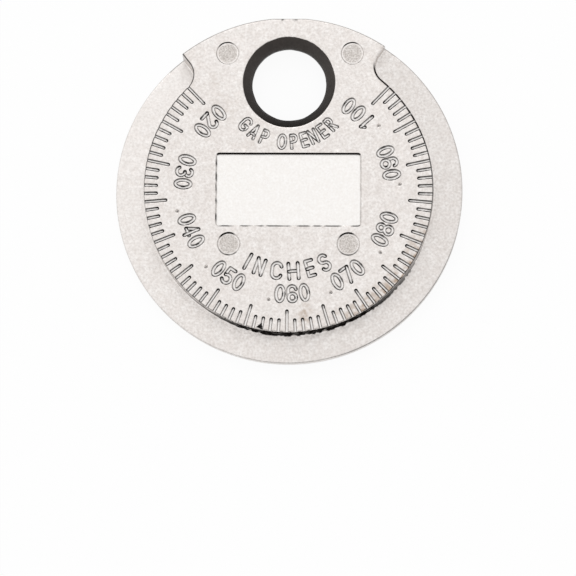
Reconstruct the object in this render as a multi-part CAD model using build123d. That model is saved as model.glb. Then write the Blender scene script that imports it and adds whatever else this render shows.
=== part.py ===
# Spark plug gap gauge, a one-piece zinc die casting about the size of a large coin.
# It lies on its back: +Z comes out of the marked face, +Y points from the middle to the
# key-ring hole, and the origin is on the axis of the disc at the back face. Sizes in mm.
# Angles are counter-clockwise from +X, as seen from above the marked face.

import os
from math import atan2, cos, degrees, hypot, radians, sin, sqrt

from build123d import *

# disc
DISC_R = 22.5            # outer radius of the whole casting
RAMP_W = 3.8             # width of the ramp, from the body wall out to the rim
BODY_R = DISC_R - RAMP_W # radius of the full-thickness body inside the ramp
THICK = 4.0              # thickness of the body and of the tab
GATE_CUT = 0.1           # what was ground off the rim at the top, where the gate was

# measuring ramp: the flange thickness is the gap that is being read
GAP_MIN = 0.508          # 0.020 in, at the first mark
GAP_MAX = 2.54           # 0.100 in, at the last mark
MARK_FIRST = 133.9       # angle of the 0.020 mark
MARK_LAST = 406.1        # angle of the 0.100 mark
MARKS = 81               # one mark for each 0.001 in
LONG_EVERY = 5           # each fifth mark is a long one

# tab that carries the key-ring hole at full thickness
TAB_RIGHT = 56.5         # angle of its right edge
TAB_LEFT = 128.2         # angle of its left edge
TAB_CORNER_R = 2.4       # fillet where the tab edge runs into the body wall

# key-ring hole, countersunk from both sides to a short land
HOLE_INSET = 8.53        # from the rim to the middle of the hole
HOLE_Y = DISC_R - HOLE_INSET
HOLE_EDGE_R = 6.0
HOLE_BEVEL = 1.2         # how much smaller the land is than the edge, in radius
HOLE_LAND_R = HOLE_EDGE_R - HOLE_BEVEL
HOLE_LAND = 0.8

# grooves of the marks and characters, which were engraved a little off the disc's axis
OFF_AXIS = (-0.09, -0.25)
GROOVE_DEPTH = 0.3
MARK_W = 0.36
MARK_SHORT = 1.9         # length in from the body wall
MARK_LONG = 3.08
STROKE_W = 0.42          # groove width of the scale numbers and the unit word
FACET = 30.0             # degrees of a round stroke that one straight facet spans
NUMBER_INSET = 5.14      # from the body wall to the middle of the numbers
NUMBER_R = BODY_R - NUMBER_INSET
DIGIT_STEP = 6.65        # degrees from digit to digit
POINT_STEP = 5.5         # degrees from the decimal point to the first digit
POINT_DROP = 0.93        # the point sits this much further out than the digit middle
POINT_R = 0.2
UNIT_INSET = 2.94        # from the middle of the numbers to that of the unit word
UNIT_R = NUMBER_R - UNIT_INSET
OPENER_GAP = 1.66        # from the edge of the hole to the middle of the function word
OPENER_R = HOLE_EDGE_R + OPENER_GAP
OPENER_SCALE = 0.875     # its letters are a little smaller
OPENER_WIDTH = 0.93      # and narrower

# shallow recesses in the marked face: the label field and four ejector pin marks
LABEL_MARGIN = 4.21      # from the middle of the numbers in to the label's short side
LABEL_W, LABEL_H = 2 * (NUMBER_R - LABEL_MARGIN), 9.5
LABEL_Y = -0.2
LABEL_CORNER_R = 0.4
LABEL_DEPTH = 0.35
PIN_R = 1.45
PIN_DEPTH = 0.2
PIN_HIGH_Y = HOLE_Y + 3.83
PIN_LOW_Y = LABEL_Y - LABEL_H / 2 - 2.35
PINS = [(-8.0, PIN_HIGH_Y), (8.2, PIN_HIGH_Y), (-7.65, PIN_LOW_Y), (7.75, PIN_LOW_Y)]

# small three-sided knock near the rim of the body, between two marks at the bottom
CHIP_INSET, CHIP_ANGLE = 0.32, 259.0
CHIP_TURN = 188.0        # the way one of its three corners points
CHIP_DEPTH = 0.3

ENGRAVING = Pos(*OFF_AXIS)
ramp_per_turn = (GAP_MAX - GAP_MIN) / (MARK_LAST - MARK_FIRST) * 360


# stroke font: each glyph is a list of strokes, and each stroke the points of its middle
# line, in a cell about 1 wide and 2 high around the glyph's middle. A stroke turns only
# gently or square, so a sharp corner is two strokes. Round parts are facets of 30 degrees,
# which keeps the mesh of the face small.
def arc(cx, cy, rx, ry, start, end):
    """Points on an oval, from the start angle to the end angle."""
    steps = max(1, round(abs(end - start) / FACET))
    angles = [radians(start + (end - start) * i / steps) for i in range(steps + 1)]
    return [(cx + rx * cos(a), cy + ry * sin(a)) for a in angles]


def oval(cx, cy, rx, ry):
    return arc(cx, cy, rx, ry, 0, 360)


SIX = [arc(0, 0.5, 0.5, 0.5, 10, 180) + [(-0.5, -0.5)], oval(0, -0.48, 0.5, 0.52)]
LETTER_P = [[(-0.4, -1), (-0.4, 1)], [(-0.4, 1)] + arc(0, 0.5, 0.43, 0.5, 90, -90)
            + [(-0.4, 0)]]
LETTER_C = arc(0, 0.35, 0.6, 0.65, 20, 180) + arc(0, -0.35, 0.6, 0.65, 180, 340)

GLYPHS = {
    "0": [oval(0, 0, 0.5, 1)],
    "1": [[(-0.35, 0.65), (0.05, 1)], [(0.05, 1), (0.05, -1)]],
    "2": [arc(0, 0.5, 0.5, 0.5, 165, -35) + [(-0.5, -1)], [(-0.5, -1), (0.5, -1)]],
    "3": [arc(0, 0.53, 0.47, 0.47, 150, -90), arc(0, -0.47, 0.53, 0.53, 90, -150)],
    "4": [[(0.2, 1), (-0.5, -0.45)], [(-0.5, -0.45), (0.5, -0.45)], [(0.2, 1), (0.2, -1)]],
    "5": [[(0.45, 1), (-0.35, 1), (-0.42, 0.1)], arc(-0.04, -0.44, 0.56, 0.56, 130, -150)],
    "6": SIX,
    "7": [[(-0.5, 1), (0.5, 1)], [(0.5, 1), (-0.12, -1)]],
    "8": [oval(0, 0.53, 0.45, 0.47), oval(0, -0.47, 0.53, 0.53)],
    "9": [[(-x, -y) for x, y in stroke] for stroke in SIX],
    "I": [[(0, -1), (0, 1)]],
    "N": [[(-0.48, -1), (-0.48, 1)], [(-0.48, 1), (0.48, -1)], [(0.48, -1), (0.48, 1)]],
    "C": [LETTER_C],
    "H": [[(-0.6, -1), (-0.6, 1)], [(-0.6, 0), (0.6, 0)], [(0.6, -1), (0.6, 1)]],
    "E": [[(0.42, 1), (-0.41, 1), (-0.41, -1), (0.42, -1)], [(-0.41, 0), (0.34, 0)]],
    "S": [arc(0, 0.5, 0.5, 0.5, 25, 270) + arc(0, -0.5, 0.5, 0.5, 90, -155)[1:]],
    "G": [LETTER_C, [(0.05, -0.15), (0.55, -0.15), (0.55, -0.6)]],
    "A": [[(-0.5, -1), (0, 1)], [(0, 1), (0.5, -1)], [(-0.32, -0.4), (0.32, -0.4)]],
    "P": LETTER_P,
    "O": [oval(0, 0, 0.57, 1)],
    "R": LETTER_P + [[(-0.02, 0), (0.46, -1)]],
}

# where each character stands: number or letter, and the angle of its middle
NUMBERS = [("020", 138.1), ("030", 170.0), ("040", 203.3), ("050", 236.1), ("060", 272.8),
           ("070", 305.0), ("080", 337.9), ("090", 375.2), ("100", 408.0)]
NO_POINT = ("020", "030")   # the decimal point did not fill on these two
UNIT_WORD = [("I", 241.5), ("N", 250.5), ("C", 262.7), ("H", 274.4), ("E", 286.1),
             ("S", 296.7)]
OPENER_WORD = [("G", 224.1), ("A", 235.2), ("P", 246.5), ("O", 264.2), ("P", 275.6), ("E", 285.9),
               ("N", 295.2), ("E", 305.6), ("R", 315.9)]


def polar(r, angle):
    return r * cos(radians(angle)), r * sin(radians(angle))


def groove(points, width=STROKE_W):
    """Flat shape of one stroke: its middle line widened, with square ends."""
    closed = hypot(points[0][0] - points[-1][0], points[0][1] - points[-1][1]) < 1e-6
    if closed:
        points = points[:-1]
    line = [Vector(*p) for p in points]
    last = len(line) - 1
    left, right = [], []
    for i, here in enumerate(line):
        before = (here - line[i - 1]).normalized() if closed or i else None
        after = (line[(i + 1) % len(line)] - here).normalized() if closed or i < last else None
        ahead = ((before or after) + (after or before)).normalized()
        side = Vector(-ahead.Y, ahead.X) * (width / 2 / ahead.dot(after or before))
        cap = ahead * (width / 2 * ((before is None) - (after is None)))
        left.append(here + side - cap)
        right.append(here - side - cap)
    if closed:
        one, other = [make_face(Polyline(*edge, close=True)) for edge in (left, right)]
        return one - other if one.area > other.area else other - one
    return make_face(Polyline(*left, *reversed(right), close=True))


def set_glyph(char, r, angle, scale=1.0, width=1.0, centre_y=0.0):
    """Put one glyph on a circle about the engraving's centre, its top towards that centre."""
    x, y = polar(r, angle)
    strokes = [[(scale * width * u, scale * v) for u, v in stroke] for stroke in GLYPHS[char]]
    glyph = groove(strokes[0], scale * STROKE_W)
    for stroke in strokes[1:]:
        glyph += groove(stroke, scale * STROKE_W)
    return ENGRAVING * Pos(x, centre_y + y) * Rot(0, 0, angle + 90) * glyph


def sink(sketch, depth):
    """Solids that cut the sketch into the marked face to the depth."""
    floor = THICK - depth
    return [extrude(Pos(0, 0, floor) * face, depth + 1) for face in sketch.faces()]


def build_ramp_cutter():
    """Everything that is taken away above the measuring ramp."""
    first, last = TAB_LEFT - 1, TAB_RIGHT + 361
    rise = ramp_per_turn * (last - first) / 360
    start_z = GAP_MIN + ramp_per_turn * (first - MARK_FIRST) / 360
    inner = Edge.make_helix(ramp_per_turn, rise, BODY_R - 1)
    outer = Edge.make_helix(ramp_per_turn, rise, DISC_R + 2)
    ramp = Face.make_surface_from_curves(inner.edge(), outer.edge())
    above_ramp = Pos(0, 0, start_z) * Rot(0, 0, first) * extrude(
        ramp, THICK, dir=(0, 0, 1))

    # plan of the cut: the ring outside the body wall, from notch edge to notch edge
    with BuildSketch() as plan:
        with BuildLine():
            arc_in = CenterArc((0, 0), BODY_R, TAB_LEFT, TAB_RIGHT + 360 - TAB_LEFT)
            arc_out = CenterArc((0, 0), DISC_R + 1, TAB_LEFT, TAB_RIGHT + 360 - TAB_LEFT)
            Line(arc_in @ 0, arc_out @ 0)
            Line(arc_in @ 1, arc_out @ 1)
        make_face()
        corners = [v for v in plan.vertices() if Vector(v.X, v.Y).length < BODY_R + 0.1]
        fillet(corners, TAB_CORNER_R)
    return above_ramp & extrude(plan.sketch, THICK + 2)


def build_hole_cutter():
    """Key-ring hole: a cone from each face and a straight land between them."""
    cone = (THICK - HOLE_LAND) / 2
    with BuildSketch(Plane.XZ) as half:
        with BuildLine():
            Polyline((0, 0), (HOLE_EDGE_R, 0), (HOLE_LAND_R, cone),
                     (HOLE_LAND_R, cone + HOLE_LAND), (HOLE_EDGE_R, THICK), (0, THICK),
                     close=True)
        make_face()
    return Pos(0, HOLE_Y) * revolve(half.sketch, Axis.Z)


def build_marks():
    """Grooves of the scale marks, open at the body wall."""
    cuts = []
    for i in range(MARKS):
        angle = MARK_FIRST + (MARK_LAST - MARK_FIRST) * i / (MARKS - 1)
        length = MARK_SHORT if i % LONG_EVERY else MARK_LONG
        line = [(BODY_R - length + MARK_W / 2, 0), (BODY_R + 2 * MARK_W, 0)]
        cuts += sink(ENGRAVING * Rot(0, 0, angle) * groove(line, MARK_W), GROOVE_DEPTH)
    return cuts


def build_characters():
    """Grooves of the numbers and of the two words."""
    cuts = []
    for digits, middle in NUMBERS:
        for i, digit in enumerate(digits):
            cuts += sink(set_glyph(digit, NUMBER_R, middle + (i - 1) * DIGIT_STEP),
                         GROOVE_DEPTH)
        if digits not in NO_POINT:
            x, y = polar(NUMBER_R + POINT_DROP, middle - DIGIT_STEP - POINT_STEP)
            cuts += sink(ENGRAVING * Pos(x, y) * Circle(POINT_R), GROOVE_DEPTH)
    for char, angle in UNIT_WORD:
        cuts += sink(set_glyph(char, UNIT_R, angle), GROOVE_DEPTH)
    for char, angle in OPENER_WORD:
        cuts += sink(set_glyph(char, OPENER_R, angle, OPENER_SCALE, OPENER_WIDTH, HOLE_Y),
                     GROOVE_DEPTH)
    return cuts


def build_recesses():
    """Bare label field and the four ejector pin marks."""
    label = Pos(0, LABEL_Y) * RectangleRounded(LABEL_W, LABEL_H, LABEL_CORNER_R)
    cuts = sink(label, LABEL_DEPTH)
    for x, y in PINS:
        cuts += sink(Pos(x, y) * Circle(PIN_R), PIN_DEPTH)
    return cuts


def build_chip():
    """Small knock: the corner of a cube pressed into the marked face."""
    x, y = polar(BODY_R - CHIP_INSET, CHIP_ANGLE)
    lift = sqrt(3) / 2 - CHIP_DEPTH
    balanced = Rot(0, degrees(atan2(sqrt(2), 1)), 0) * Rot(0, 0, 45) * Box(1, 1, 1)
    return Pos(x, y, THICK + lift) * Rot(0, 0, CHIP_TURN) * balanced


disc = extrude(Circle(DISC_R), THICK)
disc -= Pos(0, DISC_R - GATE_CUT + 5, THICK / 2) * Box(20, 10, THICK + 2)
disc -= build_ramp_cutter()
disc -= build_hole_cutter()
disc = disc - (build_recesses() + build_marks() + build_characters() + [build_chip()])

solid = disc.solids()[0]
solid.label = "gauge_disc"
os.makedirs("parts", exist_ok=True)
export_step(solid, "parts/gauge_disc.step")
print("solids", len(disc.solids()), "volume", round(solid.volume, 1), "faces",
      len(solid.faces()))
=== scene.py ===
"""Blender scene of a spark plug gap gauge: one nickel-plated zinc die casting that lies on
its back. The casting is one mesh. Its front is a map of heights over the plan, with mesh
lines laid along every edge, groove and wall, so that light rolls over them as it does over
a real casting. Its sizes are in mm and are turned to metres once, when its mesh is made.
+Z comes out of the marked face, and +Y points from the middle to the key-ring hole.
"""

from math import atan2, ceil, cos, degrees, hypot, pi, radians, sin, sqrt

import bpy
import numpy as np
from mathutils import Matrix, Vector, noise
from mathutils.geometry import delaunay_2d_cdt


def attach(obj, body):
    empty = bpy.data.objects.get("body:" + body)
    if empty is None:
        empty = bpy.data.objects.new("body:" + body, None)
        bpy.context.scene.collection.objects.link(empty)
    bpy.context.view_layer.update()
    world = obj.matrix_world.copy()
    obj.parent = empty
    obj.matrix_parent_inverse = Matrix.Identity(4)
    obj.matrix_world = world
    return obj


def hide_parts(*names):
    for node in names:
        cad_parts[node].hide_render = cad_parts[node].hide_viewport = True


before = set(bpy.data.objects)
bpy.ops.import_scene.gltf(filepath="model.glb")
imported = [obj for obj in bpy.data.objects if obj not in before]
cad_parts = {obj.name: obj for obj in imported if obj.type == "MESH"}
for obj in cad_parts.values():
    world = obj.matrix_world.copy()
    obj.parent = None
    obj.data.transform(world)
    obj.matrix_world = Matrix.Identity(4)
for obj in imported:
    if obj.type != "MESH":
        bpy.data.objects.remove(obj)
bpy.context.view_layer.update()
MM = 0.001

# the casting, as in the part's own drawing
DISC_R, BODY_R, THICK, GATE_FLAT_Y = 22.5, 18.7, 4.0, 22.4
GAP_MIN, GAP_MAX = 0.508, 2.54
MARK_FIRST, MARK_LAST, MARKS, LONG_EVERY = 133.9, 406.1, 81, 5
OFF_AXIS = (-0.09, -0.25)
TAB_RIGHT, TAB_LEFT, TAB_CORNER_R = 56.5, 128.2, 2.4
HOLE_Y, HOLE_EDGE_R, HOLE_LAND_R, HOLE_LAND = 13.97, 6.0, 4.8, 0.8
MARK_W, MARK_SHORT, MARK_LONG = 0.36, 1.9, 3.08
STROKE_W, GROOVE_DEPTH = 0.42, 0.3
NUMBER_R, DIGIT_STEP, POINT_STEP, POINT_DROP, POINT_R = 13.56, 6.65, 5.5, 0.93, 0.2
UNIT_R, OPENER_R, OPENER_SCALE, OPENER_WIDTH = 10.62, 7.66, 0.875, 0.93
LABEL_W, LABEL_H, LABEL_Y, LABEL_CORNER_R = 18.7, 9.5, -0.2, 0.4
PIN_R, PIN_RING, PIN_STEP, PIN_MATT = 1.45, 0.35, 0.06, 0.25
PIN_DEPTH, LABEL_DEPTH = 0.2, 0.35
PINS = [(-8.0, 17.8), (8.2, 17.8), (-7.65, -7.3), (7.75, -7.3)]
CHIP_R, CHIP_ANGLE, CHIP_TURN, CHIP_DEPTH = 18.38, 259.0, 188.0, 0.3
# x of the two dark traces that the gate left on the rim
GATE_TRACES = (-0.8, 0.75)
# soft brown stains: middle, half width, half height and strength
STAINS = [(2.2, -16.4, 0.9, 1.5, 0.8), (-8.6, 10.6, 2.4, 1.5, 0.2), (-4.5, 5.7, 3.2, 0.9, 0.15),
          (-9.5, 14.0, 1.2, 1.6, 0.12)]

# profiles across an edge, as pairs of the distance past the drawn line and what is there
GROOVE_SIDE = [(-0.075, 1.0), (-0.05, 0.94), (0.015, 0.12), (0.035, 0.03), (0.07, 0.0)]
RIM_DROP = [(0.0, 0.12), (0.02, 0.07), (0.05, 0.03), (0.09, 0.008), (0.14, 0.0)]
WALL_TOP, FOOT, FOOT_NEAR, FILLET_END, SWEEP_END = -0.006, -0.04, -0.19, -0.22, -0.6
FILLET_RISE, SWEEP_RISE = 0.03, 0.055
OUTER_DROP = [(0.0, 0.14), (0.02, 0.085), (0.06, 0.04), (0.12, 0.01), (0.2, 0.0)]
HOLE_DROP = [(-0.08, 0.0), (0.0, 0.03), (0.05, 0.008), (0.1, 0.0)]

# how the rim and the hole go over into the back: an inset or a change of radius, and a height
RIM_LOW = 0.14
BACK_ROUND = [(0.03, 0.06), (0.1, 0.012), (0.18, 0.0)]
HOLE_BACK = [(-0.3, 0.4), (-0.03, 0.07), (0.05, 0.0)]

# where mesh lines run: depths inside the body's outline, and levels up the hole's bevel
OUTLINE_DEPTHS = [depth for depth, drop in RIM_DROP] + [
    0.18, 0.22, 0.3, 0.75, WALL_TOP, FOOT, -0.07, -0.1, -0.135, FOOT_NEAR, FILLET_END, -0.25,
    -0.4, SWEEP_END]
HOLE_LEVELS = (0, 0.3, 0.6, 0.93, 1.0, 1.04, 1.09, 1.25)
CHIP_LINES = (0.07, 0.14, 0.21, 0.28, 0.35, 0.42, 0.48)
# longest piece of a mesh line, and the spacing of loose mesh points on the front and the back
LINE_PIECE, FRONT_STEP, BACK_STEP = 0.5, 0.55, 1.5

# how the wall, painted shade, painted highlight and stains change round the disc, as pairs of an
# angle in degrees and a value.
# Angles run counter-clockwise from +X, and past 360 on the way to the tab's right edge
LEAN_SHARE = [(235, 0), (262, 1), (325, 1), (340, 0)]
SWEEP_SHARE = [(210, 0), (250, 1), (325, 1), (345, 0)]
RIM_SHADE = [(165, 0.9), (180, 0.55), (235, 0.8), (262, 1.02), (300, 1.02), (320, 0.95),
            (345, 0.75), (385, 1)]
RIM_SHADE_REACH = [(165, 0.14), (190, 0.05), (240, 0.05), (250, -0.03), (300, -0.03),
                  (330, 0.08), (370, 0.16), (390, 0.23)]
RIM_UNSHADED = [(345, -0.01), (385, 0.02)]
WALL_SHADE = [(215, 0.2), (236, 0.95), (256, 1.02), (303, 1.02), (320, 0.85), (345, 0.1)]
FLANGE_SHADE = [(230, 0), (300, 0.04), (360, 0.05)]
FLANGE_PAINTED_LIGHT = [(135, 0.3), (170, 0.2), (230, 0)]
OUTER_EDGE_SHADE = [(134.9, 0.5), (135, 0.15), (284, 0.15), (292, 0.5), (340, 0.5), (350, 0.15),
              (416, 0.4), (433, 0.45), (450, 0.4)]
MARK_STAIN = [(285, 0.1), (300, 1), (335, 1), (350, 0.1)]

# the same for the painted shade, by the way that the edge of a groove or a recess lies from its
# middle
SHADE_SPREAD = [(180, 0), (225, 0.06), (300, 0.08), (345, 0)]
GROOVE_SHADE = [(0, 0.3), (45, 0.35), (90, 0.85), (135, 0.45), (180, 0.3), (220, 1), (310, 1),
               (360, 0.3)]
SMALL_GROOVE_SHADE = [(0, 0.7), (45, 0), (90, 0.4), (135, 0.2), (180, 0.8), (210, 1.15), (330, 1.1),
              (360, 0.7)]
FAR_SIDE_SHADE = [(50, 0), (75, 1.2), (130, 1.2), (155, 0)]
PIN_SHADE = [(190, 0.1), (225, 0.7), (265, 1), (300, 0.8), (340, 0.3)]
LABEL_SHADE = [(0, 0.3), (180, 0.9), (270, 1.1)]

# the casting's finishes, in the order of its material slots
PLATING, FIELD, BEVEL, PIN_FACE = range(4)

LAND_TOP, LAND_BASE = (THICK + HOLE_LAND) / 2, (THICK - HOLE_LAND) / 2
ramp_per_degree = (GAP_MAX - GAP_MIN) / (MARK_LAST - MARK_FIRST)


def arc(cx, cy, rx, ry, start, end):
    """Points on an oval, from the start angle to the end angle."""
    steps = max(2, ceil(abs(end - start) / 12))
    angles = [radians(start + (end - start) * i / steps) for i in range(steps + 1)]
    return [(cx + rx * cos(a), cy + ry * sin(a)) for a in angles]


def oval(cx, cy, rx, ry):
    return arc(cx, cy, rx, ry, 0, 360)


# stroke font: each glyph is a list of strokes, and each stroke the points of its middle
# line, in a cell about 1 mm wide and 2 mm high around the glyph's middle
SIX = [arc(0, 0.5, 0.5, 0.5, 10, 180) + [(-0.5, -0.5)], oval(0, -0.48, 0.5, 0.52)]
LETTER_P = [[(-0.4, -1), (-0.4, 1)], [(-0.4, 1)] + arc(0, 0.5, 0.43, 0.5, 90, -90)
            + [(-0.4, 0)]]
LETTER_C = arc(0, 0.35, 0.6, 0.65, 20, 180) + arc(0, -0.35, 0.6, 0.65, 180, 340)

GLYPHS = {
    "0": [oval(0, 0, 0.5, 1)],
    "1": [[(-0.35, 0.65), (0.05, 1)], [(0.05, 1), (0.05, -1)]],
    "2": [arc(0, 0.5, 0.5, 0.5, 165, -35) + [(-0.5, -1)], [(-0.5, -1), (0.5, -1)]],
    "3": [arc(0, 0.53, 0.47, 0.47, 150, -90), arc(0, -0.47, 0.53, 0.53, 90, -150)],
    "4": [[(0.2, 1), (-0.5, -0.45)], [(-0.5, -0.45), (0.5, -0.45)], [(0.2, 1), (0.2, -1)]],
    "5": [[(0.45, 1), (-0.35, 1), (-0.42, 0.1)], arc(-0.04, -0.44, 0.56, 0.56, 130, -150)],
    "6": SIX,
    "7": [[(-0.5, 1), (0.5, 1)], [(0.5, 1), (-0.12, -1)]],
    "8": [oval(0, 0.53, 0.45, 0.47), oval(0, -0.47, 0.53, 0.53)],
    "9": [[(-x, -y) for x, y in stroke] for stroke in SIX],
    "I": [[(0, -1), (0, 1)]],
    "N": [[(-0.48, -1), (-0.48, 1)], [(-0.48, 1), (0.48, -1)], [(0.48, -1), (0.48, 1)]],
    "C": [LETTER_C],
    "H": [[(-0.6, -1), (-0.6, 1)], [(-0.6, 0), (0.6, 0)], [(0.6, -1), (0.6, 1)]],
    "E": [[(0.42, 1), (-0.41, 1), (-0.41, -1), (0.42, -1)], [(-0.41, 0), (0.34, 0)]],
    "S": [arc(0, 0.5, 0.5, 0.5, 25, 270) + arc(0, -0.5, 0.5, 0.5, 90, -155)[1:]],
    "G": [LETTER_C, [(0.05, -0.15), (0.55, -0.15), (0.55, -0.6)]],
    "A": [[(-0.5, -1), (0, 1)], [(0, 1), (0.5, -1)], [(-0.32, -0.4), (0.32, -0.4)]],
    "P": LETTER_P,
    "O": [oval(0, 0, 0.57, 1)],
    "R": LETTER_P + [[(-0.02, 0), (0.46, -1)]],
}

# where each character stands: number or letter, and the angle of its middle
NUMBERS = [("020", 138.1), ("030", 170.0), ("040", 203.3), ("050", 236.1), ("060", 272.8),
           ("070", 305.0), ("080", 337.9), ("090", 375.2), ("100", 408.0)]
NO_POINT = ("020", "030")
UNIT_WORD = [("I", 241.5), ("N", 250.5), ("C", 262.7), ("H", 274.4), ("E", 286.1),
             ("S", 296.7)]
OPENER_WORD = [("G", 224.1), ("A", 235.2), ("P", 246.5), ("O", 264.2), ("P", 275.6), ("E", 285.9),
               ("N", 295.2), ("E", 305.6), ("R", 315.9)]


def polar(r, angle, centre=(0, 0)):
    return centre[0] + r * cos(radians(angle)), centre[1] + r * sin(radians(angle))


def set_glyph(char, r, angle, scale=1.0, width=1.0, centre=OFF_AXIS):
    """Strokes of one glyph on a circle about centre, its top towards that centre."""
    x, y = polar(r, angle, centre)
    c, s = cos(radians(angle + 90)) * scale, sin(radians(angle + 90)) * scale
    return [[(x + u * width * c - v * s, y + u * width * s + v * c) for u, v in stroke]
            for stroke in GLYPHS[char]]


def lay_out_grooves():
    """Every groove of the face, as its middle line and half its width."""
    grooves = []
    for i in range(MARKS):
        angle = MARK_FIRST + (MARK_LAST - MARK_FIRST) * i / (MARKS - 1)
        length = MARK_SHORT if i % LONG_EVERY else MARK_LONG
        start = BODY_R - length + MARK_W / 2
        radii = [start + (BODY_R + 0.7 - start) * k / 4 for k in range(5)]
        grooves.append(([polar(r, angle, OFF_AXIS) for r in radii], MARK_W / 2))
    strokes = []
    for digits, middle in NUMBERS:
        for i, digit in enumerate(digits):
            strokes += set_glyph(digit, NUMBER_R, middle + (i - 1) * DIGIT_STEP)
        if digits not in NO_POINT:
            angle = middle - DIGIT_STEP - POINT_STEP
            dot = [polar(NUMBER_R + POINT_DROP + k, angle, OFF_AXIS) for k in (-0.02, 0.02)]
            grooves.append((dot, POINT_R))
    for char, angle in UNIT_WORD:
        strokes += set_glyph(char, UNIT_R, angle)
    grooves += [(stroke, STROKE_W / 2) for stroke in strokes]
    for char, angle in OPENER_WORD:
        middle = (OFF_AXIS[0], OFF_AXIS[1] + HOLE_Y)
        for stroke in set_glyph(char, OPENER_R, angle, OPENER_SCALE, OPENER_WIDTH, middle):
            grooves.append((stroke, OPENER_SCALE * STROKE_W / 2))
    return grooves


def rails(points, gap):
    """Closed lines that keep a gap from a stroke, round at its ends and outer corners."""
    closed = hypot(points[0][0] - points[-1][0], points[0][1] - points[-1][1]) < 1e-6
    loops = [points[:-1], points[:0:-1]] if closed else [points + points[-2:0:-1]]
    lines = []
    for loop in loops:
        line = []
        for i, (x, y) in enumerate(loop):
            x0, y0 = loop[i - 1]
            x1, y1 = loop[(i + 1) % len(loop)]
            before, after = atan2(y - y0, x - x0), atan2(y1 - y, x1 - x)
            turn = (after - before + pi) % (2 * pi) - pi
            # a stroke's end is half a turn, always taken the outer way
            if turn > 3.1:
                turn -= 2 * pi
            steps = ceil(-turn / radians(24)) if turn < radians(-24) else 0
            reach = gap if steps else min(gap / cos(turn / 2), 3 * gap)
            for k in range(steps + 1):
                a = before + (turn * k / steps if steps else turn / 2)
                line.append((x - reach * sin(a), y + reach * cos(a)))
        lines.append(line)
    return lines


def stroke_distance(p, points):
    """Distance of each plan point from a stroke's middle line, and on which side it lies."""
    best, side = np.full(len(p), 1e9), np.zeros(len(p))
    for a, b in zip(np.array(points[:-1]), np.array(points[1:])):
        ab = b - a
        t = np.clip(((p - a) @ ab) / (ab @ ab), 0, 1)
        away = p - a - t[:, None] * ab
        length = np.hypot(*away.T)
        side = np.where(length < best, np.degrees(np.arctan2(away[:, 1], away[:, 0])), side)
        best = np.minimum(best, length)
    return best, side % 360


def profile(distance, pairs):
    return np.interp(distance, *zip(*pairs))


def tab_side(edge, inward):
    """A tab edge as its own direction, its inward normal and its corner fillet's middle."""
    along = np.array(polar(1, edge))
    normal = np.array(polar(1, edge + inward))
    reach = sqrt((BODY_R + TAB_CORNER_R) ** 2 - TAB_CORNER_R ** 2)
    return along, normal, along * reach - normal * TAB_CORNER_R


TAB_SIDES = [tab_side(TAB_RIGHT, 90), tab_side(TAB_LEFT, -90)]


def inside_outline(p):
    """How far each point is inside the outline of the full-thickness body and tab."""
    body = BODY_R - np.hypot(p[:, 0], p[:, 1])
    depth = np.maximum(body, np.minimum(p @ TAB_SIDES[0][1], p @ TAB_SIDES[1][1]))
    for along, normal, middle in TAB_SIDES:
        inner = -middle / np.hypot(*middle)
        q = p - middle
        sense = inner[0] * normal[1] - inner[1] * normal[0]
        first = (inner[0] * q[:, 1] - inner[1] * q[:, 0]) * sense
        second = (q[:, 0] * normal[1] - q[:, 1] * normal[0]) * sense
        far = np.hypot(q[:, 0], q[:, 1])
        corner = (first > 0) & (second > 0) & (far < TAB_CORNER_R + 2)
        depth = np.where(corner, far - TAB_CORNER_R, depth)
    return depth


def outline_line(depth):
    """The outline, drawn in by a depth, from the rim at one tab edge to the other."""
    swing = degrees(atan2(TAB_CORNER_R, sqrt((BODY_R + TAB_CORNER_R) ** 2
                                             - TAB_CORNER_R ** 2)))
    right, left = TAB_RIGHT - swing, TAB_LEFT + swing
    ends = []
    for along, normal, middle in TAB_SIDES:
        reach = sqrt(DISC_R ** 2 - depth ** 2)
        corner = along @ middle
        ends.append([tuple(along * (reach + (corner - reach) * k / 8) + normal * depth)
                     for k in range(9)])
    r = TAB_CORNER_R + depth
    fillet_1 = [polar(r, TAB_RIGHT + 90 + (90 - swing) * k / 12, TAB_SIDES[0][2])
                for k in range(13)]
    sweep = 360 - (left - right)
    body = [polar(BODY_R - depth, right - sweep * k / 400) for k in range(401)]
    fillet_2 = [polar(r, left + 180 + (90 - swing) * k / 12, TAB_SIDES[1][2])
                for k in range(13)]
    return ends[0] + fillet_1[1:] + body[1:-1] + fillet_2 + ends[1][::-1][1:]


def rim_line(inset, extra=()):
    """The outer rim, drawn in by an inset, with the flat that the gate left."""
    flat = degrees(atan2(GATE_FLAT_Y, sqrt(DISC_R ** 2 - GATE_FLAT_Y ** 2)))
    angles = sorted([i * 0.75 for i in range(480)] + [flat, 180 - flat, *extra])
    line = []
    for angle in angles:
        x, y = polar(DISC_R - inset, angle)
        line.append((x, min(y, GATE_FLAT_Y - inset)))
    return line


def ripple(x, y, z, size):
    """Smooth noise from -1 to 1, its bumps about size mm across."""
    return noise.noise(Vector((x, y, z)) / size)


def hole_radius(angle, level):
    """Radius of the hole: level 1 is its wavy front edge, 0 the lip of the land."""
    x, y = polar(HOLE_EDGE_R, angle)
    # slow waves all round, and fine nicks in the far side of the edge
    edge = HOLE_EDGE_R + 0.03 * ripple(x, y, 3, 1.6)
    edge += 0.06 * ripple(x, y, 9, 0.45) * max(0.0, sin(radians(angle))) ** 2
    lip = HOLE_LAND_R + 0.06 * ripple(x, y, 20, 2.6) + 0.02 * ripple(x, y, 30, 0.8)
    return lip + (edge - lip) * level


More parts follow.
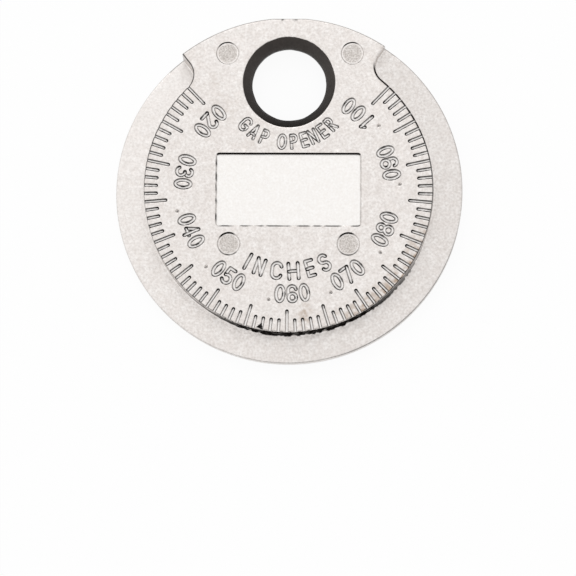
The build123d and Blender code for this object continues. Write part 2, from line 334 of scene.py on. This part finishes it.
def hole_level(p):
    """Where each point lies between the lip of the land, 0, and the front edge, 1."""
    q = p - np.array((0, HOLE_Y))
    level = np.full(len(p), 9.0)
    for i in np.nonzero(np.hypot(*q.T) < HOLE_EDGE_R + 0.6)[0]:
        angle = degrees(atan2(q[i, 1], q[i, 0]))
        lip, edge = hole_radius(angle, 0), hole_radius(angle, 1)
        level[i] = (hypot(*q[i]) - lip) / (edge - lip)
    return level


def label_distance(p):
    """Distance outside the label field's outline, negative inside."""
    q = np.abs(p - np.array((0, LABEL_Y)))
    q -= np.array((LABEL_W, LABEL_H)) / 2 - LABEL_CORNER_R
    return np.hypot(*np.maximum(q, 0).T) + np.minimum(q.max(1), 0) - LABEL_CORNER_R


def recesses(p):
    """Label field and ejector marks: middle, distance outside, and the way the edge faces."""
    x, y = (p - np.array((0, LABEL_Y))).T
    long_side = np.abs(y) - LABEL_H / 2 > np.abs(x) - LABEL_W / 2
    facing = np.where(long_side, np.sign(y) * pi / 2, np.where(x > 0, 0.0, pi))
    fields = [(None, label_distance(p), facing)]
    for pin in PINS:
        x, y = (p - np.array(pin)).T
        fields.append((pin, np.hypot(x, y) - PIN_R, np.arctan2(y, x)))
    return fields


def chip_height(p):
    """Three flat flanks that meet in the chip's lowest point."""
    q = p - np.array(polar(CHIP_R, CHIP_ANGLE))
    flanks = [q @ np.array(polar(sqrt(2), CHIP_TURN + turn)) for turn in (60, 180, 300)]
    return THICK - CHIP_DEPTH + np.max(flanks, axis=0)


def wall_and_flange(p, depth, angle, patchy):
    """Height, painted shade and painted highlight of the body's top and rim, its wall and the
    flange.
    """
    ramp = GAP_MIN + ramp_per_degree * (angle - MARK_FIRST)
    top = THICK - profile(depth, RIM_DROP)
    foot = ramp + FILLET_RISE * np.clip((depth - FILLET_END) / (FOOT - FILLET_END), 0, 1) ** 2
    foot += (SWEEP_RISE * profile(angle, SWEEP_SHARE)
             * np.clip(1 - depth / SWEEP_END, 0, 1) ** 2)
    lean = profile(angle, LEAN_SHARE)
    draft = FOOT + (FOOT_NEAR - FOOT) * lean
    rise = np.clip(1 - depth / draft, 0, 1)
    height = np.where(depth >= 0, top, foot + (top - foot) * rise)

    # painted shade, black on the rim and down the wall, ragged on the near side, then grey on the
    # flange
    ragged = 0.18 * patchy * lean
    tab_edge = (angle > 400) * np.interp(np.hypot(p[:, 0], p[:, 1]), [19.3, 20.0], [0, 1])
    on_rim = profile(angle, RIM_SHADE) * (1 - 0.9 * tab_edge)
    on_rim *= np.clip((profile(angle, RIM_SHADE_REACH) + ragged + 0.03 - depth) / 0.04, 0, 1)
    on_rim *= np.clip((depth - profile(angle, RIM_UNSHADED)) / 0.02, 0, 1)
    on_wall = profile(angle, WALL_SHADE)
    on_wall *= np.clip((depth - draft + 0.05 * lean + ragged) / 0.02 + 1, 0, 1)
    flange = depth < FILLET_END
    shade_and_dirt = np.maximum(np.where(depth > WALL_TOP, on_rim, on_wall),
                       flange * profile(angle, FLANGE_SHADE))
    return height, shade_and_dirt, flange * profile(angle, FLANGE_PAINTED_LIGHT)


def groove_shade(distance, side, ends, half, patchy):
    """Painted shade in a groove and on its lips, by distance past its edge and the way that
    faces.
    """
    if half == POINT_R:
        return np.interp(distance, [-0.12, -0.05], [1, 0])
    inside = np.clip((distance + 0.1 + profile(side, SHADE_SPREAD)) / 0.04, 0, 1)
    dark_share = np.where(distance < 0, inside, np.interp(distance, [0.035, 0.07], [1, 0]))
    dark_share *= np.clip(1.05 + 0.9 * patchy, 0.4, 1) * profile(side, GROOVE_SHADE)
    small = half == OPENER_SCALE * STROKE_W / 2
    if small:
        dark_share *= profile(side, SMALL_GROOVE_SHADE)
    # painted shade, darkest at the ends of a stroke
    at_end = (ends < half + 0.05) & (distance > -0.12) & (distance < 0.05)
    return np.where(at_end, 0.75 if small else 1.0, dark_share)


def recess_shade(middle, distance, way, dashes):
    """Painted shade round a recess: solid on its far side, broken into dashes elsewhere."""
    if middle is None:
        low = profile(way, LABEL_SHADE) * dashes
    else:
        low = profile(way, PIN_SHADE) * (0.5 + 0.5 * dashes)
    # a broader band round the label field and the two lower pins
    more = 0.0 if middle is not None and middle[1] > 0 else 0.04
    band = np.interp(distance, [-0.08 - more, -0.04 - more, 0.05 + more, 0.07 + more],
                     [0, 1, 1, 0])
    return band * np.maximum(np.maximum(profile(way, FAR_SIDE_SHADE), low), 0.15)


def front(p, grooves):
    """Height of the front over each plan point, and its painted shade and dirt, painted highlight
    and stain, 0 to 1.
    """
    depth = inside_outline(p)
    angle = np.degrees(np.arctan2(p[:, 1], p[:, 0])) % 360
    angle[angle < (TAB_LEFT + TAB_RIGHT) / 2] += 360
    patchy = np.array([ripple(x, y, 60, 0.5) for x, y in p])
    height, shade_and_dirt, painted_highlight = wall_and_flange(p, depth, angle, patchy)

    for points, half in grooves:
        low, high = np.min(points, 0) - 0.6, np.max(points, 0) + 0.6
        near = np.nonzero(((p > low) & (p < high)).all(1))[0]
        if len(near) == 0:
            continue
        distance, side = stroke_distance(p[near], points)
        distance -= half
        share = profile(distance, GROOVE_SIDE)
        height[near] = np.minimum(height[near], THICK - GROOVE_DEPTH * share)
        ends = np.min([np.hypot(*(p[near] - np.array(end)).T)
                       for end in (points[0], points[-1])], axis=0)
        dark_share = groove_shade(distance, side, ends, half, patchy[near])
        # painted shade at left and right, where the marks open at the rim
        shaded_mouth = (depth[near] < 0.16) & (np.abs(np.cos(np.radians(angle[near]))) > 0.6)
        dark_share = np.where(shaded_mouth & (distance < 0), 0.75, dark_share)
        on_face = depth[near] > 0.02
        in_groove = on_face & (distance < -0.06)
        shade_and_dirt[near] = np.where(in_groove, dark_share, np.maximum(shade_and_dirt[near], dark_share * on_face))
        # painted highlight: the floors of the grooves are painted brighter
        painted_highlight[near] = np.maximum(painted_highlight[near], (distance < -0.03) * on_face)

    for middle, distance, facing in recesses(p):
        share = profile(distance, GROOVE_SIDE)
        if middle is not None:
            step = np.clip((distance + PIN_RING) / PIN_STEP, 0, 1)
            share *= (1 - 0.05 * step) * PIN_DEPTH / LABEL_DEPTH
        height = np.minimum(height, THICK - LABEL_DEPTH * share)
        near = np.nonzero(np.abs(distance) < 0.2)[0]
        dashes = np.clip([0.7 + 2.5 * ripple(*p[i], 40, 0.6) for i in near], 0.1, 1)
        dark_share = recess_shade(middle, distance[near], np.degrees(facing[near]) % 360, dashes)
        shade_and_dirt[near] = np.maximum(shade_and_dirt[near], dark_share)

    chip = chip_height(p)
    # the chip is painted black
    shade_and_dirt = np.where(chip < THICK + 0.05, 1.0, shade_and_dirt)
    height = np.minimum(height, chip)

    # the hole's bevel, with painted shade that is blackest on its near side
    level = hole_level(p)
    low_side = 0.2 - 0.7 * (p[:, 1] - HOLE_Y) / HOLE_EDGE_R
    shade_and_dirt = np.where(level < 1.02, np.clip(low_side, 0, 1), shade_and_dirt)
    bevel = LAND_TOP + (THICK - LAND_TOP) * np.clip(level, 0, 1)
    past = (level - 1) * (HOLE_EDGE_R - HOLE_LAND_R)
    height = np.minimum(height, bevel - profile(past, HOLE_DROP))

    # the rim's rounded edge, with a line of painted shade that is broader round the tab
    inset = np.minimum(DISC_R - np.hypot(p[:, 0], p[:, 1]), GATE_FLAT_Y - p[:, 1])
    height -= profile(inset, OUTER_DROP)
    width = np.where((angle < 135) | (angle > 412), 0.18, 0.12)
    shade_and_dirt = np.maximum(shade_and_dirt, (profile(angle, OUTER_EDGE_SHADE)
                               * np.clip((width - inset) / 0.04, 0, 1)))
    for x in GATE_TRACES:
        trace = np.hypot((p[:, 0] - x) / 0.16, (p[:, 1] - GATE_FLAT_Y + 0.12) / 0.1)
        shade_and_dirt = np.maximum(shade_and_dirt, np.clip(1.6 - trace, 0, 1))

    stain = np.zeros(len(p))
    for x, y, half_w, half_h, amount in STAINS:
        spot = np.hypot((p[:, 0] - x) / half_w, (p[:, 1] - y) / half_h)
        stain += amount * np.exp(-spot ** 2)
    by_the_marks = (depth > 0) * np.interp(depth, [0.3, 2.2], [1, 0])
    stain += by_the_marks * profile(angle, MARK_STAIN)
    # a cast face is never quite flat
    wave = np.array([0.012 * ripple(x, y, 0, 3.5) + 0.006 * ripple(x, y, 5, 1.1)
                     for x, y in p])
    return height + wave, shade_and_dirt, painted_highlight, stain


def lay_plan_lines(grooves):
    """Every line that the front's mesh has to follow, as closed or open runs of points."""
    closed, open_runs = [], []
    for points, half in grooves:
        for gap, share in GROOVE_SIDE:
            closed += rails(points, half + gap)
        closed += rails(points, half + 0.2)
        open_runs.append(points)
    for x, y in PINS:
        for gap in [g for g, share in GROOVE_SIDE] + [
                0.25, 0.11, -0.11, -PIN_MATT, PIN_STEP - PIN_RING, -PIN_RING, -0.4, -0.5]:
            closed.append([polar(PIN_R + gap, a, (x, y)) for a in range(0, 360, 5)])
    for gap in [g for g, share in GROOVE_SIDE] + [-0.25, -0.11, 0.11, 0.25]:
        w, h = LABEL_W / 2 - LABEL_CORNER_R, LABEL_H / 2 - LABEL_CORNER_R
        line = []
        for quarter, (cx, cy) in enumerate([(w, h), (-w, h), (-w, -h), (w, -h)]):
            line += [polar(LABEL_CORNER_R + gap, 90 * quarter + 15 * k, (cx, cy + LABEL_Y))
                     for k in range(7)]
        closed.append(line)
    outlines = [outline_line(depth) for depth in OUTLINE_DEPTHS]
    open_runs += outlines
    for level in HOLE_LEVELS:
        closed.append([polar(hole_radius(a * 1.5, level), a * 1.5, (0, HOLE_Y))
                       for a in range(240)])
    cx, cy = polar(CHIP_R, CHIP_ANGLE)
    for reach in CHIP_LINES:
        closed.append([polar(reach, CHIP_TURN + turn, (cx, cy)) for turn in (0, 120, 240)])
    ends = [degrees(atan2(y, x)) for run in outlines for x, y in (run[0], run[-1])]
    closed.append(rim_line(0, ends))
    for inset in [i for i, drop in OUTER_DROP if i] + [0.4]:
        closed.append(rim_line(inset))
    return closed, open_runs


def plan_mesh(closed, open_runs):
    """Flat triangles over the disc that follow all the lines, outside the hole's lip."""
    points, edges = [], []
    for run, shut in [(r, True) for r in closed] + [(r, False) for r in open_runs]:
        first = len(points)
        for (x, y), (x1, y1) in zip(run, run[1:] + run[:1] if shut else run[1:]):
            pieces = ceil(hypot(x1 - x, y1 - y) / LINE_PIECE)
            points += [(x + (x1 - x) * k / pieces, y + (y1 - y) * k / pieces)
                       for k in range(pieces)]
        if not shut:
            points.append(run[-1])
        edges += [(i, i + 1) for i in range(first, len(points) - 1)]
        if shut:
            edges.append((len(points) - 1, first))
    for row in range(-42, 43):
        for column in range(-42, 43):
            x, y = (column + row % 2 / 2) * FRONT_STEP, row * FRONT_STEP * 0.97
            if hypot(x, y) < DISC_R - 0.5 and hypot(x, y - HOLE_Y) > HOLE_EDGE_R + 0.35:
                points.append((x, y))
    flat, _, faces, *_ = delaunay_2d_cdt([Vector(p) for p in points], edges, [], 0, 1e-4,
                                         False)
    flat = np.array([tuple(v) for v in flat])
    faces = np.array(faces)
    middles = flat[faces].mean(1)
    return flat, faces[hole_level(middles) > 0]


def open_loops(faces):
    """Closed runs of points along the open edges of the mesh, in order."""
    directed = {(f[i], f[(i + 1) % 3]) for f in faces.tolist() for i in range(3)}
    following = {a: b for a, b in directed if (b, a) not in directed}
    loops = []
    while following:
        start = next(iter(following))
        loop = [start]
        while (ahead := following.pop(loop[-1])) != start:
            loop.append(ahead)
        loops.append(loop)
    return loops


def put_in_scene(name, data):
    piece = bpy.data.objects.new(name, data)
    bpy.context.scene.collection.objects.link(piece)
    return piece


def lay_back(loops, points, shade_and_dirt):
    """Triangles of the plain flat back, between the last loops of the rim and the hole."""
    order = [i for loop in loops for i in loop]
    edges, first = [], 0
    for loop in loops:
        edges += [(first + i, first + (i + 1) % len(loop)) for i in range(len(loop))]
        first += len(loop)
    grid = [(x * BACK_STEP, y * BACK_STEP) for x in range(-14, 15) for y in range(-14, 15)]
    loose = [Vector((x, y)) for x, y in grid
             if hypot(x, y) < DISC_R - 1.05 and hypot(x, y - HOLE_Y) > HOLE_EDGE_R + 0.6]
    plan = [Vector(points[i][:2]) for i in order] + loose
    flat, _, tiles, origins, *_ = delaunay_2d_cdt(plan, edges, [], 0, 1e-5, True)
    # number of each plan point in the casting's mesh, where the loose ones are new
    numbers = []
    for position, sources in zip(flat, origins):
        known = [order[s] for s in sources if s < len(order)]
        if known:
            numbers.append(known[0])
        else:
            numbers.append(len(points))
            points.append((position.x, position.y, 0.0))
            shade_and_dirt.append(0.0)
    # the plan is filled right across, so the triangles that span the hole are left out
    round_hole = {i for i in order
                  if hypot(points[i][0], points[i][1] - HOLE_Y) < HOLE_EDGE_R + 0.2}
    triangles = [(numbers[a], numbers[c], numbers[b]) for a, b, c in tiles]
    return [t for t in triangles if not round_hole.issuperset(t)]


def build_casting():
    """The whole casting as one closed mesh, with its painted shade, dirt, painted highlight and
    stains as point values.
    """
    grooves = lay_out_grooves()
    flat, faces = plan_mesh(*lay_plan_lines(grooves))
    height, shade_and_dirt, painted_highlight, stain = front(flat, grooves)
    points = [(x, y, z) for (x, y), z in zip(flat.tolist(), height.tolist())]
    shade_and_dirt, painted_highlight, stain = shade_and_dirt.tolist(), painted_highlight.tolist(), stain.tolist()
    middles = flat[faces].mean(1)
    finish = np.full(len(faces), PLATING)
    finish[label_distance(middles) < -0.09] = FIELD
    finish[hole_level(middles) < 1] = BEVEL
    for pin in PINS:
        finish[np.hypot(*(middles - np.array(pin)).T) < PIN_R - PIN_MATT] = PIN_FACE
    faces, finish = faces.tolist(), finish.tolist()

    def sleeve(loop, rings, kind, dark_share):
        """Carry an open loop on through the rings of points, and return the last one."""
        for ring in rings:
            first = len(points)
            points.extend(ring)
            shade_and_dirt.extend([dark_share] * len(ring))
            fresh = list(range(first, first + len(ring)))
            for i in range(len(loop)):
                j = (i + 1) % len(loop)
                faces.append((loop[j], loop[i], fresh[i], fresh[j]))
                finish.append(kind)
            loop = fresh
        return loop

    back_loops = []
    for loop in open_loops(np.array(faces)):
        start = [points[i] for i in loop]
        if hypot(start[0][0], start[0][1] - HOLE_Y) < HOLE_EDGE_R:
            rings = [[(x, y, LAND_BASE) for x, y, _ in start]]
            for wider, z in HOLE_BACK:
                shares = [(HOLE_EDGE_R + wider) / hypot(x, y - HOLE_Y) for x, y, _ in start]
                rings.append([(x * share, HOLE_Y + (y - HOLE_Y) * share, z)
                              for (x, y, _), share in zip(start, shares)])
            back_loops.append(sleeve(loop, rings, BEVEL, 0.0))
        else:
            rings = [[(x, y, RIM_LOW + (z - RIM_LOW) * share) for x, y, z in start]
                     for share in (0.66, 0.33, 0)]
            for inset, z in BACK_ROUND:
                rings.append([(x * (1 - inset / hypot(x, y)), y * (1 - inset / hypot(x, y)),
                               z) for x, y, _ in start])
            # the side of the rim is painted a little darker all round
            back_loops.append(sleeve(loop, rings, PLATING, 0.12))
    back = lay_back(back_loops, points, shade_and_dirt)
    faces += back
    finish += [PLATING] * len(back)

    mesh = bpy.data.meshes.new("casting")
    mesh.from_pydata([(x * MM, y * MM, z * MM) for x, y, z in points], [], faces)
    mesh.polygons.foreach_set("material_index", finish)
    mesh.polygons.foreach_set("use_smooth", [True] * len(faces))
    for name, values in (("shade_and_dirt", shade_and_dirt), ("painted_highlight", painted_highlight), ("stain", stain)):
        values += [0.0] * (len(points) - len(values))
        layer = mesh.attributes.new(name, "FLOAT", "POINT")
        layer.data.foreach_set("value", values)
    mesh.validate()
    mesh.update()
    return put_in_scene("casting", mesh)


def colour(code):
    """A colour written as sRGB hex, turned to linear values."""
    parts = [int(code[i:i + 2], 16) / 255 for i in (1, 3, 5)]
    return (*(p / 12.92 if p <= 0.04045 else ((p + 0.055) / 1.055) ** 2.4 for p in parts), 1)


def add(tree, kind, settings=None, **links):
    """Add a node; settings go to its properties or sockets, links to its sockets.

    A number is a socket's place: 1 to 4 are the from and to ends of a range, 6 and 7 the
    two colours of a mix, and i0 stands for place 0 in a link.
    """
    node = tree.nodes.new(kind)
    for key, value in (settings or {}).items():
        if isinstance(key, str) and hasattr(node, key):
            setattr(node, key, value)
        else:
            node.inputs[key].default_value = value
    for key, source in links.items():
        tree.links.new(source, node.inputs[int(key[1:]) if key[1:].isdigit()
                                           else key.replace("_", " ")])
    return node


def new_finish(name):
    """An empty material with its shader and output joined."""
    material = bpy.data.materials.new(name)
    material.use_nodes = True
    tree = material.node_tree
    tree.nodes.clear()
    shader = add(tree, "ShaderNodeBsdfPrincipled")
    add(tree, "ShaderNodeOutputMaterial", Surface=shader.outputs[0])
    return material, tree, shader


def cast_surface(tree, shader, light, dark, specks, rough, grain, metal=1.0, fine=0.3):
    """What every cast face shares: cloudy plating, specks, stains, painted shade and dirt, a
    painted highlight and a sandy skin.

    rough is the middle roughness, grain the depth of the skin and fine the size of its
    specks, both in mm.
    """
    place = add(tree, "ShaderNodeTexCoord").outputs["Object"]
    # noise, found by the size of its grains in mm
    grit = {size: add(tree, "ShaderNodeTexNoise", {"Scale": 1 / (size * MM), "Detail": 3.0},
                      Vector=place).outputs[0] for size in (fine, 0.25, 0.7, 0.9, 1.2)}
    point_values = {name: add(tree, "ShaderNodeAttribute", {"attribute_name": name}).outputs["Fac"]
            for name in ("shade_and_dirt", "painted_highlight", "stain")}

    # clouds of plating, fine specks, then stains, the painted highlight, and black painted shade
    # and dirt
    cloud = add(tree, "ShaderNodeMapRange", {1: 0.35, 2: 0.65}, i0=grit[0.9])
    base = add(tree, "ShaderNodeMix", {"data_type": "RGBA", 6: colour(dark), 7: colour(light)},
               i0=cloud.outputs[0])
    speck = add(tree, "ShaderNodeMapRange", {1: 0.3, 2: 0.75, 4: 0.8}, i0=grit[fine])
    base = add(tree, "ShaderNodeMix", {"data_type": "RGBA", 7: colour(specks)},
               i0=speck.outputs[0], i6=base.outputs[2])
    patch = add(tree, "ShaderNodeMapRange", {1: 0.4, 2: 0.62}, i0=grit[0.7])
    stain = add(tree, "ShaderNodeMath", {"operation": "MULTIPLY"}, i0=point_values["stain"],
                i1=patch.outputs[0])
    base = add(tree, "ShaderNodeMix", {"data_type": "RGBA", 7: colour("#B5A291")},
               i0=stain.outputs[0], i6=base.outputs[2])
    base = add(tree, "ShaderNodeMix", {"data_type": "RGBA", 7: colour("#F6F2EF")},
               i0=point_values["painted_highlight"], i6=base.outputs[2])
    patch = add(tree, "ShaderNodeMapRange", {1: 0.25, 2: 0.55, 3: 0.93}, i0=grit[0.7])
    shade_and_dirt = add(tree, "ShaderNodeMath", {"operation": "MULTIPLY"}, i0=point_values["shade_and_dirt"],
                i1=patch.outputs[0])
    base = add(tree, "ShaderNodeMix", {"data_type": "RGBA", 7: colour("#171412")},
               i0=shade_and_dirt.outputs[0], i6=base.outputs[2])
    tree.links.new(base.outputs[2], shader.inputs["Base Color"])

    gleam = add(tree, "ShaderNodeMapRange", {3: metal, 4: 0.0}, i0=shade_and_dirt.outputs[0])
    tree.links.new(gleam.outputs[0], shader.inputs["Metallic"])
    gloss = add(tree, "ShaderNodeMapRange", {3: 0.5, 4: 0.0}, i0=shade_and_dirt.outputs[0])
    tree.links.new(gloss.outputs[0], shader.inputs["Specular IOR Level"])
    sheen = add(tree, "ShaderNodeMapRange", {1: 0.3, 2: 0.7, 3: rough - 0.05, 4: rough + 0.07},
                i0=grit[1.2])
    tree.links.new(sheen.outputs[0], shader.inputs["Roughness"])
    # cast skin: 0.25 mm grains over 0.9 mm lumps
    lumps = add(tree, "ShaderNodeBump", {"Strength": 1.0, "Distance": grain * 3 * MM},
                Height=grit[0.9])
    skin = add(tree, "ShaderNodeBump", {"Strength": 1.0, "Distance": grain * MM},
               Height=grit[0.25], Normal=lumps.outputs[0])
    tree.links.new(skin.outputs[0], shader.inputs["Normal"])


def nickel_plated_zinc():
    """Nickel-plated die-cast zinc: satin, nearly white, with a fine cast grain."""
    material, tree, shader = new_finish("nickel_plated_zinc")
    cast_surface(tree, shader, "#F9F5F2", "#F1EBE7", "#D2CBC6", rough=0.32, grain=0.012)
    return material


def smooth_label_field():
    """The die was polished for the label, so the plating is brighter and smoother here."""
    material, tree, shader = new_finish("smooth_label_field")
    cast_surface(tree, shader, "#FCFAF8", "#F9F6F3", "#EFEBE7", rough=0.32, grain=0.003)
    return material


def dark_bevel():
    """Bevels of the key-ring hole: charcoal dark all round, faintly streaked."""
    material, tree, shader = new_finish("dark_bevel")
    cast_surface(tree, shader, "#413A36", "#37312D", "#443E3A", rough=0.6, grain=0.004,
                 metal=0.1)
    return material


def ejector_pin_face():
    """Pressed by the flat end of an ejector pin: a coarser, greyer, mottled floor."""
    material, tree, shader = new_finish("ejector_pin_face")
    cast_surface(tree, shader, "#F2EDE9", "#E6E0DB", "#958D86", rough=0.5, grain=0.02,
                 fine=0.2)
    return material


casting = build_casting()
for finish in (nickel_plated_zinc(), smooth_label_field(), dark_bevel(), ejector_pin_face()):
    casting.data.materials.append(finish)
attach(casting, "root")
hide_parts("gauge_disc")


def white_table():
    """Matt white table top; the part that the camera sees is lifted to paper white."""
    material, tree, shader = new_finish("white_table")
    shader.inputs["Base Color"].default_value = colour("#FAFAFA")
    shader.inputs["Roughness"].default_value = 0.9
    rays = add(tree, "ShaderNodeLightPath").outputs
    seen = add(tree, "ShaderNodeMath", {"operation": "MAXIMUM"},
               i0=rays["Is Camera Ray"], i1=rays["Is Glossy Ray"])
    seen = add(tree, "ShaderNodeMath", {"operation": "MAXIMUM"},
               i0=seen.outputs[0], i1=rays["Is Transmission Ray"])
    lift = add(tree, "ShaderNodeMath", {"operation": "MULTIPLY", 1: 0.93}, i0=seen.outputs[0])
    paper = add(tree, "ShaderNodeEmission", {"Color": (1, 1, 1, 1), "Strength": 1.0})
    both = add(tree, "ShaderNodeMixShader", i0=lift.outputs[0], i1=shader.outputs[0],
               i2=paper.outputs[0])
    # clear from below, so that the casting's back can be looked at
    under = add(tree, "ShaderNodeNewGeometry").outputs["Backfacing"]
    clear = add(tree, "ShaderNodeBsdfTransparent")
    both = add(tree, "ShaderNodeMixShader", i0=under, i1=both.outputs[0], i2=clear.outputs[0])
    out = next(n for n in tree.nodes if n.type == "OUTPUT_MATERIAL")
    tree.links.new(both.outputs[0], out.inputs[0])
    return material


def build_table():
    """A table top a hair below the casting, so that no two faces share a plane."""
    mesh = bpy.data.meshes.new("table_top")
    size, z = 1.5, -0.02 * MM
    mesh.from_pydata([(-size, -size, z), (size, -size, z), (size, size, z),
                      (-size, size, z)], [], [(0, 1, 2, 3)])
    mesh.materials.append(white_table())
    put_in_scene("table_top", mesh)


def add_lamp(name, position, size, power):
    """A square soft box that faces the middle of the casting, in metres and watts."""
    lamp = bpy.data.lights.new(name, "AREA")
    lamp.size, lamp.energy = size, power
    place = Vector(position)
    put_in_scene(name, lamp).matrix_world = Matrix.Translation(place) @ place.to_track_quat(
        "Z", "Y").to_matrix().to_4x4()


def build_world():
    """Pale room that is a little darker low down on the near side and the far right."""
    world = bpy.data.worlds.new("room")
    world.use_nodes = True
    bpy.context.scene.world = world
    tree = world.node_tree
    tree.nodes.clear()
    way = add(tree, "ShaderNodeTexCoord").outputs["Generated"]
    level = None
    for azimuth, near, far, dim in ((285, 0.5, 0.97, 0.3), (45, 0.5, 0.95, 0.6)):
        x, y = polar(cos(radians(15)), azimuth)
        toward = add(tree, "ShaderNodeVectorMath",
                     {"operation": "DOT_PRODUCT", 1: (x, y, sin(radians(15)))}, i0=way)
        part = add(tree, "ShaderNodeMapRange", {1: near, 2: far, 3: 1.0, 4: dim},
                   i0=toward.outputs["Value"]).outputs[0]
        level = part if level is None else add(
            tree, "ShaderNodeMath", {"operation": "MULTIPLY"}, i0=level, i1=part).outputs[0]
    shade = add(tree, "ShaderNodeBackground", {"Color": (1, 1, 1, 1)}, Strength=level)
    add(tree, "ShaderNodeOutputWorld", Surface=shade.outputs[0])


def place_camera():
    """The photograph's view: 400 mm away and, from the disc's middle, 11 degrees off upright."""
    position, target = Vector((9.88, -72.49, 394.35)), Vector((-0.02, -12.75, 2.0))
    ahead = (target - position).normalized()
    right = ahead.cross(Vector((0, 1, 0))).normalized()
    above = right.cross(ahead)
    roll = radians(0.36)
    right, above = right * cos(roll) + above * sin(roll), above * cos(roll) - right * sin(roll)
    data = bpy.data.cameras.new("camera")
    data.lens, data.sensor_width, data.clip_start = 192.3, 36.0, 0.01
    camera = put_in_scene("camera", data)
    turn = Matrix((right, above, -ahead)).transposed().to_4x4()
    camera.matrix_world = Matrix.Translation(position * MM) @ turn
    bpy.context.scene.camera = camera


build_table()
build_world()
add_lamp("far_side", (0.0, 0.5, 0.45), 0.4, 0.7)
place_camera()
bpy.context.scene.view_settings.view_transform = "Standard"
